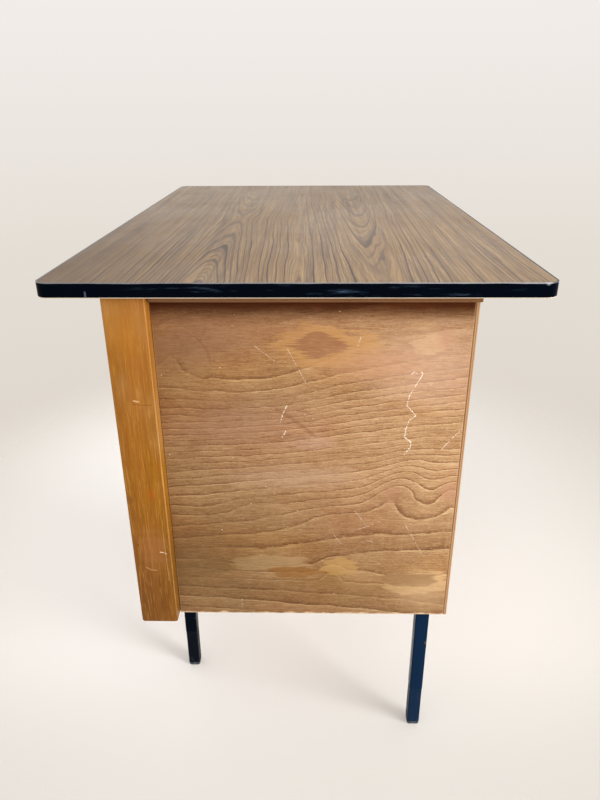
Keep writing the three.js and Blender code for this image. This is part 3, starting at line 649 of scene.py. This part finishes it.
def walnut_laminate():
    """Plain-sawn walnut printed under a satin laminate: two hearts of nested arches among straight lines,
    with painted shade at the near left and lines that fade towards the far end as a painted sheen.
    """
    mat = Material("walnut_laminate")
    x, y = mat.x, mat.y
    flat = mat.combine(x, y)
    across = mat.plus(y, mat.wobble(flat, (1.8, 5, 1), 0.020))
    across = mat.plus(across, mat.wobble(flat, (7, 50, 1), 0.0035, 1))

    from_right_start = mat.minus(x, RIGHT_HEART_START_X)
    from_left_middle = mat.math("ABSOLUTE", mat.minus(x, LEFT_HEART_MIDDLE_X))
    from_left_ends = mat.minus(LEFT_HEART_HALF_LENGTH, from_left_middle)
    pith = mat.math(
        "SMOOTH_MIN",
        heart(mat, across, RIGHT_HEART_Y, from_right_start),
        heart(mat, across, LEFT_HEART_Y, from_left_ends),
        0.03,
    )
    rings = mat.math("DIVIDE", pith, RING_PITCH)
    rings = mat.plus(rings, mat.times(mat.noise(flat, (1.5, 26, 1), 2), 2.2))
    rings = mat.plus(rings, mat.wobble(flat, (18, 60, 1), 0.35, 1))
    # Painted sheen: the printed lines fade towards the far end, as the laminate's sheen washes them out
    # there.
    near_end = mat.remap(x, -0.30, 0.35, 0.3, 1.0)
    saw = mat.math("FRACT", rings)
    fine_saw = mat.math("FRACT", mat.times(rings, 2.73))

    strength = mat.chance(rings)
    fade = mat.noise(flat, (5, 70, 1), 3)
    line = mat.times(
        mat.remap(saw, 0.58, 0.82),
        mat.fall(saw, 0.9, 1.0),
        mat.remap(strength, 0.2, 0.8, 0.2, 1.0),
        mat.remap(fade, 0.3, 0.6, 0.55, 1.0),
        near_end,
    )
    fine_fade = mat.remap(fade, 0.35, 0.65, 0.7, 0.25)
    fine_line = mat.times(mat.remap(fine_saw, 0.6, 0.9), fine_fade, near_end, 0.9)
    shadow = mat.times(mat.remap(saw, 0.1, 0.9), strength)

    fibres = mat.noise(flat, (22, 1000, 1), 3, 0.6)
    streaks = mat.noise(flat, (2.6, 96, 1), 5, 0.72)
    tone = mat.plus(mat.times(streaks, 0.7), mat.times(fibres, 0.3))
    colour = mat.ramp(tone, (0.38, WALNUT_DARK), (0.5, WALNUT_MID), (0.62, WALNUT_LIGHT))
    tawny = mat.blots(flat, (1.6, 9, 1), 3, 0.42, 0.62, 0.45)
    colour = mat.mix(tawny, colour, WALNUT_TAWNY)
    colour = mat.mix(mat.times(shadow, 0.4), colour, WALNUT_MAUVE)
    colour = mat.mix(fine_line, colour, WALNUT_LINE)
    colour = mat.mix(line, colour, WALNUT_LINE)
    pores = mat.blots(flat, (85, 1500, 1), 1, 0.62, 0.7)
    colour = mat.darken(colour, mat.times(pores, 0.35), (150, 124, 108))
    # Painted shade: the top darker at the near left, away from the light.
    near_left_shade = mat.plus(y, mat.wobble(flat, (3, 3, 1), 0.2, 3))
    near_left_shade = mat.times(mat.fall(near_left_shade, -0.34, 0.05), mat.remap(x, -0.5, 0.4))
    # Darker towards the far end.
    faded = mat.fall(x, -0.45, 0.25)
    colour = mat.darken(colour, faded, (230, 230, 230))
    colour = mat.darken(colour, near_left_shade, (188, 176, 138))

    smears = mat.noise(flat, (4, 5, 1), 5, 0.65)
    mat.bump(fibres, 0.00002, 0.1)
    return mat.finish(colour, mat.remap(smears, 0.35, 0.65, 0.27, 0.34), specular=0.14)


SEAM_Y = 0.229
NICK_Y = -0.240
ARRIS_HEIGHTS = (0.7488, 0.7496)  # the band's upper edge, where a pale highlight is painted
ARRIS_END_Y = (0.287, 0.291)  # over which the painted highlight fades at the rear corner
CORNER_GLINT_PLACE = (0.472, 0.284, 0.7495)


def edge_plastic():
    """The band round the tabletop: glossy blue-black plastic with rubbed grey smears that double as painted
    bluish reflections, a painted highlight along its upper edge, a painted glint at one rear corner, a nick
    and one seam.
    """
    mat = Material("edge_plastic")
    smears = mat.noise(mat.point, (12, 12, 150), 5, 0.7)
    where = mat.blots(mat.point, (5, 5, 5), 2, 0.45, 0.6)
    # Rubbed grey-blue smears, which also stand in as painted bluish reflections.
    smear_and_sheen = mat.times(mat.remap(smears, 0.54, 0.74, 0.0, 0.8), where)
    colour = mat.mix(smear_and_sheen, (1, 5, 14), (66, 86, 110))
    for mark_y, half_width, top_z, mark in (
        (SEAM_Y, 0.0006, 0.760, (2, 3, 6)),
        (NICK_Y, 0.0014, 0.741, (70, 76, 96)),
    ):
        offset = mat.math("ABSOLUTE", mat.minus(mat.y, mark_y))
        near_end = mat.math("GREATER_THAN", mat.x, 0.0)
        across = mat.fall(offset, 0.5 * half_width, half_width)
        down = mat.fall(mat.z, top_z - 0.002, top_z)
        colour = mat.mix(mat.times(across, near_end, down), colour, mark)
    # Painted highlight along the band's upper edge, brighter towards the rear and fading at the rear corner.
    arris = mat.plus(mat.z, mat.wobble(mat.point, (22, 22, 22), 0.0016, 4))
    highlight_along = mat.remap(mat.y, -0.25, 0.3, 0.45, 0.75)
    highlight_end = mat.remap(mat.y, *ARRIS_END_Y, 1.0, 0.3)
    arris = mat.times(mat.remap(arris, *ARRIS_HEIGHTS), highlight_along, highlight_end)
    colour = mat.mix(arris, colour, (176, 178, 184))
    # Painted glint at the band's rear corner.
    corner_glint = mat.vector("DISTANCE", mat.point, CORNER_GLINT_PLACE, output=1)
    colour = mat.mix(mat.fall(corner_glint, 0.0015, 0.0045, 0.8), colour, (206, 216, 228))
    mat.bump(mat.noise(mat.point, (60, 60, 240), 3), 0.00025, 0.3)
    return mat.finish(colour, mat.remap(smears, 0.3, 0.75, 0.12, 0.35), specular=0.02)


# Painted light: the legs' one enamel as a shaded copy at the front and a lit, bluer copy at the rear.
SHADED_FRONT_ENAMEL = (3, 10, 20)
LIT_REAR_ENAMEL = (13, 36, 62)  # the lit copy, painted bluer than the front's shaded one


def blue_black(mat):
    """The legs' colour with painted light: dark as if in shade at the front, lit and bluer towards the rear.
    """
    return mat.mix(mat.remap(mat.y, -0.15, 0.20), SHADED_FRONT_ENAMEL, LIT_REAR_ENAMEL)


def black_enamel(node, seed):
    """Blue-black stove enamel on steel, with orange peel, dust and a few chips."""
    mat = Material(f"black_enamel_{node}")
    point = mat.vector("ADD", mat.point, (seed, 2 * seed, 0))
    dust = mat.noise(point, (24, 24, 9), 5, 0.7)
    colour = mat.mix(mat.remap(dust, 0.5, 0.8, 0.0, 0.25), blue_black(mat), (40, 62, 90))
    chips = mat.blots(point, (95, 95, 70), 2, 0.72, 0.75)
    colour = mat.mix(mat.times(chips, 0.8), colour, (104, 82, 66))
    peel = mat.noise(point, (420, 420, 420), 2)
    mat.bump(mat.minus(peel, mat.times(chips, 2.0)), 0.00006, 0.4)
    return mat.finish(colour, mat.remap(dust, 0.35, 0.7, 0.16, 0.34), specular=0.02)


def ferrule_plastic(node, seed):
    """The moulded foot of a leg: the same blue-black, a little duller and scuffed towards the floor."""
    mat = Material(f"ferrule_plastic_{node}")
    point = mat.vector("ADD", mat.point, (seed, seed, 0))
    scuffs = mat.noise(point, (150, 150, 60), 5, 0.7)
    low_down = mat.remap(mat.z, 0.0, 0.03, 1.0, 0.25)
    scuffed = mat.times(mat.remap(scuffs, 0.5, 0.75, 0.0, 0.4), low_down)
    colour = mat.mix(scuffed, blue_black(mat), (88, 98, 110))
    mat.bump(scuffs, 0.0001, 0.3)
    return mat.finish(colour, mat.remap(scuffs, 0.3, 0.7, 0.28, 0.5), specular=0.04)


def glide_plastic(node):
    """The foot's glide: grey-black and scuffed all over."""
    mat = Material(f"glide_plastic_{node}")
    scuffs = mat.noise(mat.point, (260, 260, 260), 4, 0.7)
    colour = mat.ramp(scuffs, (0.35, (22, 26, 34)), (0.7, (84, 90, 98)))
    mat.bump(scuffs, 0.0002, 0.4)
    return mat.finish(colour, 0.55)


def particle_board():
    """Pressed chips, each its own shade and height."""
    mat = Material("particle_board")
    shade = mat.cells(mat.point, 420.0)[1]
    colour = mat.ramp(shade, (0.1, (150, 116, 74)), (0.9, (204, 172, 124)))
    mat.bump(shade, 0.0003, 0.5)
    return mat.finish(colour, 0.85)


def backing_sheet():
    """The pale balancing paper under the board, yellowed and stained."""
    mat = Material("backing_sheet")
    stains = mat.noise(mat.point, (6, 6, 6), 5, 0.65)
    colour = mat.ramp(stains, (0.3, (196, 178, 152)), (0.6, (222, 210, 190)))
    weave = mat.noise(mat.point, (900, 900, 900), 2)
    mat.bump(weave, 0.00005, 0.4)
    return mat.finish(colour, 0.7)


def zinc_steel():
    """The heads of screws and pins: dull zinc with rust specks."""
    mat = Material("zinc_steel")
    mottle = mat.noise(mat.point, (600, 600, 600), 3, 0.6)
    colour = mat.ramp(mottle, (0.35, (120, 112, 100)), (0.6, (168, 164, 156)))
    rust = mat.blots(mat.point, (900, 900, 900), 2, 0.6, 0.7, 0.7)
    colour = mat.mix(rust, colour, (110, 66, 38))
    return mat.finish(colour, mat.remap(mottle, 0.3, 0.7, 0.32, 0.55), metallic=0.85)


def weld_enamel():
    """The legs' enamel over a weld bead, thinner and grainier than on the tubes."""
    mat = Material("weld_enamel")
    grain = mat.noise(mat.point, (1200, 1200, 1200), 3, 0.6)
    colour = mat.ramp(grain, (0.35, (8, 20, 36)), (0.75, (44, 56, 72)))
    mat.bump(grain, 0.0002, 0.5)
    return mat.finish(colour, 0.35, specular=0.2)


# Each panel's grain runs along an axis, round its hills, and its colours are multiplied by a tone.
PANELS = {
    OUTER_PANEL: ("y", OUTER_PANEL_HILLS, (255, 255, 255)),
    "pedestal_inner_side_panel": ("y", INNER_PANEL_HILLS, (232, 220, 206)),
    "pedestal_back_panel": ("x", BACK_PANEL_HILLS, (222, 206, 190)),
}
MADE_PER_NODE = {
    "lacquered_beech": lacquered_beech,
    "plain_plywood": plain_beech,
    "black_steel": black_enamel,
}
MADE_ONCE = {
    "laminate": walnut_laminate,
    "edge_plastic": edge_plastic,
    "particle_board": particle_board,
    "backing_sheet": backing_sheet,
}


def node_material(node, seed):
    slot = SLOT_OF[node]
    if node in PANELS:
        return worn_panel(node, *PANELS[node])
    if node == "pedestal_top_board":
        return shaded_beech(node, seed)
    if slot == "edge_plastic" and node != "tabletop_edge_band":
        return ferrule_plastic(node, seed)
    if slot == "glide_plastic":
        return glide_plastic(node)
    if slot in MADE_PER_NODE:
        return MADE_PER_NODE[slot](node, seed)
    return MADE_ONCE[slot]()


# ---- The CAD nodes: softened edges and materials ----

EDGE_ROUNDING = {
    "lacquered_beech": 0.0018,
    "beech_plywood": 0.0007,
    "plain_plywood": 0.0009,
    "edge_plastic": 0.0010,
    "black_steel": 0.0004,
    "laminate": 0.0002,
}
NAMED_ROUNDING = {"pedestal_top_board": 0.0012}
LEAST_ROUNDING = 0.0002


def soften(node, obj):
    """Rounds a CAD node's sharp edges and shades the rest smooth."""
    for attribute in ("custom_normal", "sharp_face", "sharp_edge"):
        found = obj.data.attributes.get(attribute)
        if found:
            obj.data.attributes.remove(found)
    obj.data.polygons.foreach_set("use_smooth", [True] * len(obj.data.polygons))
    weld = obj.modifiers.new("weld", "WELD")
    weld.merge_threshold = 1e-5
    flat = obj.modifiers.new("flat_faces", "DECIMATE")
    flat.decimate_type = "DISSOLVE"
    flat.angle_limit = math.radians(0.5)
    bevel = obj.modifiers.new("round_edges", "BEVEL")
    bevel.width = NAMED_ROUNDING.get(node, EDGE_ROUNDING.get(SLOT_OF[node], LEAST_ROUNDING))
    bevel.segments = 3
    bevel.limit_method = "ANGLE"
    bevel.angle_limit = math.radians(35)
    bevel.harden_normals = True


for number, (node_name, node_object) in enumerate(sorted(NODES.items()), 1):
    soften(node_name, node_object)
    node_object.data.materials.clear()
    node_object.data.materials.append(node_material(node_name, number))

# ---- Fastenings and welds ----

METAL = zinc_steel()
WELD_METAL = weld_enamel()
DESK = "desk"
SCREW_RADIUS = 0.0036
PIN_RADIUS = 0.0014
PIN_INSET = 0.006  # from the back panel's edges
PIN_JITTER = 0.002
SIDE_PIN_INSET = 0.005  # from the rear end of a drawer's side
WELD_RADIUS = 0.0021
BRACKET_THICKNESS = 0.002
PULL_SCREW_INSET = 0.004
SMOOTH_ANGLE = math.radians(40)


def add_object(name, data):
    """Puts a new object that holds the data into the scene."""
    made = bpy.data.objects.new(name, data)
    bpy.context.scene.collection.objects.link(made)
    return made


def add_mesh(name, mesh):
    """Puts a finished bmesh into the scene."""
    data = bpy.data.meshes.new(name)
    mesh.to_mesh(data)
    mesh.free()
    return add_object(name, data)


def facing_matrix(place, normal, turn=0.0):
    """Puts a shape that was built standing on +Z at a place, standing along a normal, turned about it."""
    upright = Vector((0, 0, 1)).rotation_difference(Vector(normal)).to_matrix().to_4x4()
    return Matrix.Translation(place) @ upright @ Matrix.Rotation(turn, 4, "Z")


def add_lathe(mesh, profile, matrix, segments):
    """A closed turned solid from (radius, height) points that start and end on the axis."""
    first = mesh.verts.new(matrix @ Vector((0, 0, profile[0][1])))
    last = mesh.verts.new(matrix @ Vector((0, 0, profile[-1][1])))
    rings = []
    for radius, height in profile[1:-1]:
        turns = (2 * math.pi * i / segments for i in range(segments))
        points = (Vector((radius * math.cos(t), radius * math.sin(t), height)) for t in turns)
        rings.append([mesh.verts.new(matrix @ point) for point in points])
    for i in range(segments):
        j = (i + 1) % segments
        mesh.faces.new((first, rings[0][i], rings[0][j]))
        mesh.faces.new((last, rings[-1][j], rings[-1][i]))
        for lower, upper in zip(rings, rings[1:]):
            mesh.faces.new((lower[i], upper[i], upper[j], lower[j]))


def add_prism(mesh, outline, low, high, matrix):
    """A closed prism over an outline of (x, y) points."""
    floor = [mesh.verts.new(matrix @ Vector((x, y, low))) for x, y in outline]
    roof = [mesh.verts.new(matrix @ Vector((x, y, high))) for x, y in outline]
    mesh.faces.new(reversed(floor))
    mesh.faces.new(roof)
    for i in range(len(outline)):
        j = (i + 1) % len(outline)
        mesh.faces.new((floor[i], floor[j], roof[j], roof[i]))


def add_screw_head(mesh, place, normal, radius=SCREW_RADIUS):
    """A slotted head, turned at random: a low disc, and two half discs that leave the slot between them."""
    matrix = facing_matrix(place, normal, random.uniform(0, math.pi))
    sunk, ledge, top = -0.10 * radius, 0.12 * radius, 0.34 * radius
    add_lathe(mesh, [(0, sunk), (radius, sunk), (radius, ledge), (0, ledge)], matrix, 24)
    rim, slot_half, steps = 0.94 * radius, 0.16 * radius, 14
    start = math.asin(slot_half / rim)
    turns = [start + (math.pi - 2 * start) * i / steps for i in range(steps + 1)]
    half = [(rim * math.cos(t), rim * math.sin(t)) for t in turns]
    add_prism(mesh, half, ledge, top, matrix)
    add_prism(mesh, half, ledge, top, matrix @ Matrix.Rotation(math.pi, 4, "Z"))


def add_pin_head(mesh, place, normal, radius=PIN_RADIUS):
    """A low domed head."""
    shape = ((0, -0.2), (1, -0.2), (1, 0.12), (0.7, 0.3), (0.3, 0.4), (0, 0.4))  # in radii
    profile = [(out * radius, height * radius) for out, height in shape]
    add_lathe(mesh, profile, facing_matrix(place, normal), 14)


def add_weld_loop(mesh, centre, axis, half_width):
    """A rippled bead round a square tube's end, where it meets another tube."""
    steps, sides = 96, 8
    matrix = facing_matrix(centre, axis)
    loop = []
    for step in range(steps):
        turn = 2 * math.pi * step / steps
        squareness = (abs(math.cos(turn)) ** 5 + abs(math.sin(turn)) ** 5) ** (-1 / 5)
        reach = half_width * squareness
        ripple = 1 + 0.16 * math.sin(turn * 31) + random.uniform(-0.05, 0.05)
        ring = []
        for side in range(sides):
            tilt = 2 * math.pi * side / sides
            out = reach + WELD_RADIUS * ripple * math.cos(tilt)
            rise = WELD_RADIUS * ripple * math.sin(tilt)
            point = Vector((out * math.cos(turn), out * math.sin(turn), rise))
            ring.append(mesh.verts.new(matrix @ point))
        loop.append(ring)
    for i in range(steps):
        for j in range(sides):
            here, there = loop[i], loop[(i + 1) % steps]
            k = (j + 1) % sides
            mesh.faces.new((here[j], there[j], there[k], here[k]))


def make_piece(name, body, material, build):
    """A piece whose mesh the build function fills."""
    mesh = bmesh.new()
    build(mesh)
    bmesh.ops.recalc_face_normals(mesh, faces=mesh.faces)
    piece = add_mesh(name, mesh)
    piece.data.shade_smooth()
    piece.data.set_sharp_from_angle(angle=SMOOTH_ANGLE)
    piece.data.materials.append(material)
    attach(piece, body)


def bracket_screws(mesh):
    """Two screws through each rail bracket's upright flange into the inner side panel."""
    for node in ("front_rail_bracket", "rear_rail_bracket"):
        low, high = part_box(node)
        for share in (0.28, 0.62):
            place = (high.x - BRACKET_THICKNESS, (low.y + high.y) / 2, low.z + share * (high.z - low.z))
            add_screw_head(mesh, place, (-1, 0, 0))


def subframe_screws(mesh):
    """Screws up through the sub-frame's tubes into the floor board."""
    for node in ("subframe_front_tube", "subframe_rear_tube", "subframe_outer_tube", "subframe_inner_tube"):
        low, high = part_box(node)
        place = (low + high) / 2
        place.z = low.z
        i = AXES.index(axis_of(node, max))
        for share in (0.3, 0.7):
            place[i] = low[i] + share * (high[i] - low[i])
            add_screw_head(mesh, place, (0, 0, -1))


def back_panel_pins(mesh):
    """Pins along the back panel's four edges."""
    low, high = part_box("pedestal_back_panel")
    width, height = high.x - low.x - 2 * PIN_INSET, high.z - low.z - 2 * PIN_INSET
    last_column, last_row = 4, 6
    for column in range(last_column + 1):
        x = low.x + PIN_INSET + width * column / last_column
        for row in range(last_row + 1):
            within_column = 0 < row < last_row
            if 0 < column < last_column and within_column:
                continue
            z = low.z + PIN_INSET + height * row / last_row
            jitter = random.uniform(-PIN_JITTER, PIN_JITTER)
            add_pin_head(mesh, (x, high.y, z + jitter if within_column else z), (0, 1, 0))


def drawer_pins(mesh, drawer):
    """Pins through a drawer's sides into its back."""
    for side, normal in (("outer", 1), ("inner", -1)):
        low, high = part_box(f"{drawer}_{side}_side")
        x = high.x if normal > 0 else low.x
        for share in (0.12, 0.36, 0.86):
            z = low.z + share * (high.z - low.z)
            add_pin_head(mesh, (x, high.y - SIDE_PIN_INSET, z), (normal, 0, 0))


def pull_screws(mesh, drawer):
    """The two screws that hold a drawer's pull, seen on the inside of its front."""
    inner_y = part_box(f"{drawer}_front")[1].y
    low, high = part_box(f"{drawer}_pull")
    z = (low.z + high.z) / 2
    for x in (low.x + PULL_SCREW_INSET, high.x - PULL_SCREW_INSET):
        add_screw_head(mesh, (x, inner_y, z), (0, 1, 0))


def leg_welds(mesh):
    """Beads where each leg meets the tube above it."""
    for leg in ("pedestal_front_leg", "pedestal_rear_leg", "far_front_leg", "far_rear_leg"):
        low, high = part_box(leg)
        centre = ((low.x + high.x) / 2, (low.y + high.y) / 2, high.z)
        add_weld_loop(mesh, centre, (0, 0, 1), (high.x - low.x) / 2)


def rail_welds(mesh):
    """Beads where the two rails meet the cross tube, and where the sub-frame's tubes meet."""
    for rail in ("front_rail_tube", "rear_rail_tube"):
        low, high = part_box(rail)
        centre = (low.x, (low.y + high.y) / 2, (low.z + high.z) / 2)
        add_weld_loop(mesh, centre, (-1, 0, 0), (high.z - low.z) / 2)
    for node in ("subframe_outer_tube", "subframe_inner_tube"):
        low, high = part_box(node)
        middle = (low + high) / 2
        for end_y in (low.y, high.y):
            add_weld_loop(mesh, (middle.x, end_y, middle.z), (0, 1, 0), (high.z - low.z) / 2)


make_piece("bracket_screws", DESK, METAL, bracket_screws)
make_piece("subframe_screws", DESK, METAL, subframe_screws)
make_piece("back_panel_pins", DESK, METAL, back_panel_pins)
make_piece("leg_welds", DESK, WELD_METAL, leg_welds)
make_piece("rail_welds", DESK, WELD_METAL, rail_welds)
for drawer_name in DRAWERS:
    pins = partial(drawer_pins, drawer=drawer_name)
    screws = partial(pull_screws, drawer=drawer_name)
    make_piece(f"{drawer_name}_pins", drawer_name, METAL, pins)
    make_piece(f"{drawer_name}_pull_screws", drawer_name, METAL, screws)

# ---- Stage, light and camera ----

FLOOR_RADIUS = 2.0
POOL_CENTRE = (-0.25, 0.0, 0.0)  # of the pool of light, out of which the floor melts into the background
POOL_RADII = (0.42, 1.15)  # where it starts to melt, and where it is gone


def studio_floor():
    """A pale floor that melts into the background, so that no horizon shows, with painted shade that darkens
    it towards +Y and +X.
    """
    mesh = bmesh.new()
    bmesh.ops.create_circle(mesh, cap_ends=True, segments=96, radius=FLOOR_RADIUS)
    floor = add_mesh("studio_floor", mesh)

    mat = Material("studio_floor")
    mottle = mat.noise(mat.point, (0.7, 0.7, 0.7), 2)
    colour = mat.ramp(mottle, (0.3, (248, 247, 245)), (0.7, (251, 250, 249)))
    # Painted shade: the floor darker towards +Y and towards +X.
    colour = mat.darken(colour, mat.remap(mat.y, -0.20, 0.35), (246, 245, 243))
    colour = mat.darken(colour, mat.remap(mat.x, 0.25, 0.55), (236, 236, 236))
    floor.data.materials.append(mat.finish(colour, 0.9, specular=0.1))
    away = mat.vector("DISTANCE", mat.point, POOL_CENTRE, output=1)
    fade = mat.remap(away, *POOL_RADII)
    clear = mat.node("BsdfTransparent", {}).outputs[0]
    faded = mat.node("MixShader", {0: fade, 1: mat.surface.outputs[0], 2: clear})
    mat.feed(mat.tree.nodes["Material Output"].inputs["Surface"], faded.outputs[0])


def softbox(name, place, target, size, power, spread=180, mirrored=True):
    """A soft light that faces its target. One that isn't mirrored makes no reflection of itself."""
    data = bpy.data.lights.new(name, "AREA")
    data.shape = "RECTANGLE"
    data.size, data.size_y = size
    data.energy = power
    data.spread = math.radians(spread)
    light = add_object(name, data)
    light.location = place
    light.rotation_mode = "QUATERNION"
    light.rotation_quaternion = (Vector(target) - Vector(place)).to_track_quat("-Z", "Y")
    light.visible_glossy = mirrored


CAMERA_PLACE = (1.203, 0.0189, 0.9351)
CAMERA_DOWN = math.radians(24.36)
CAMERA_TURN = math.radians(1.12)  # clockwise from looking along -X, seen from above
CAMERA_ROLL = math.radians(0.32)
CAMERA_LENS = 29.57


def camera():
    data = bpy.data.cameras.new("camera")
    data.lens = CAMERA_LENS
    data.sensor_width = 36.0
    made = add_object("camera", data)
    turned = Matrix.Rotation(math.pi / 2 + CAMERA_TURN, 4, "Z")
    tipped = Matrix.Rotation(math.pi / 2 - CAMERA_DOWN, 4, "X")
    rolled = Matrix.Rotation(-CAMERA_ROLL, 4, "Z")
    made.matrix_world = Matrix.Translation(CAMERA_PLACE) @ turned @ tipped @ rolled
    bpy.context.scene.camera = made


WORLD_STOPS = (  # from straight down at 0, past the horizon at 0.5, to straight up at 1
    (0.10, (230, 223, 214)),
    (0.30, (224, 216, 206)),
    (0.41, (229, 222, 213)),
    (0.47, (235, 229, 223)),
    (0.56, (242, 237, 233)),
)


def world():
    """An even, pale surround, darkest a little below the horizon."""
    made = bpy.data.worlds.new("studio")
    made.use_nodes = True
    nodes = Nodes(made.node_tree)
    height = nodes.split(nodes.node("TexCoord", {}).outputs["Generated"])[2]
    colour = nodes.ramp(nodes.rescale(height, -1.0, 1.0, 0.0, 1.0), *WORLD_STOPS)
    nodes.feed(nodes.tree.nodes["Background"].inputs["Color"], colour)
    bpy.context.scene.world = made


studio_floor()
world()
camera()
key_place, key_target = (1.45, 1.95, 1.05), (0.40, -0.05, 0.42)
softbox("key_softbox", key_place, key_target, size=(1.1, 1.1), power=8.6, spread=58, mirrored=False)
softbox("top_softbox", (-0.2, 0.2, 4.2), (0.0, 0.0, 0.0), size=(4.0, 4.0), power=27)
bpy.context.scene.view_settings.view_transform = "Standard"
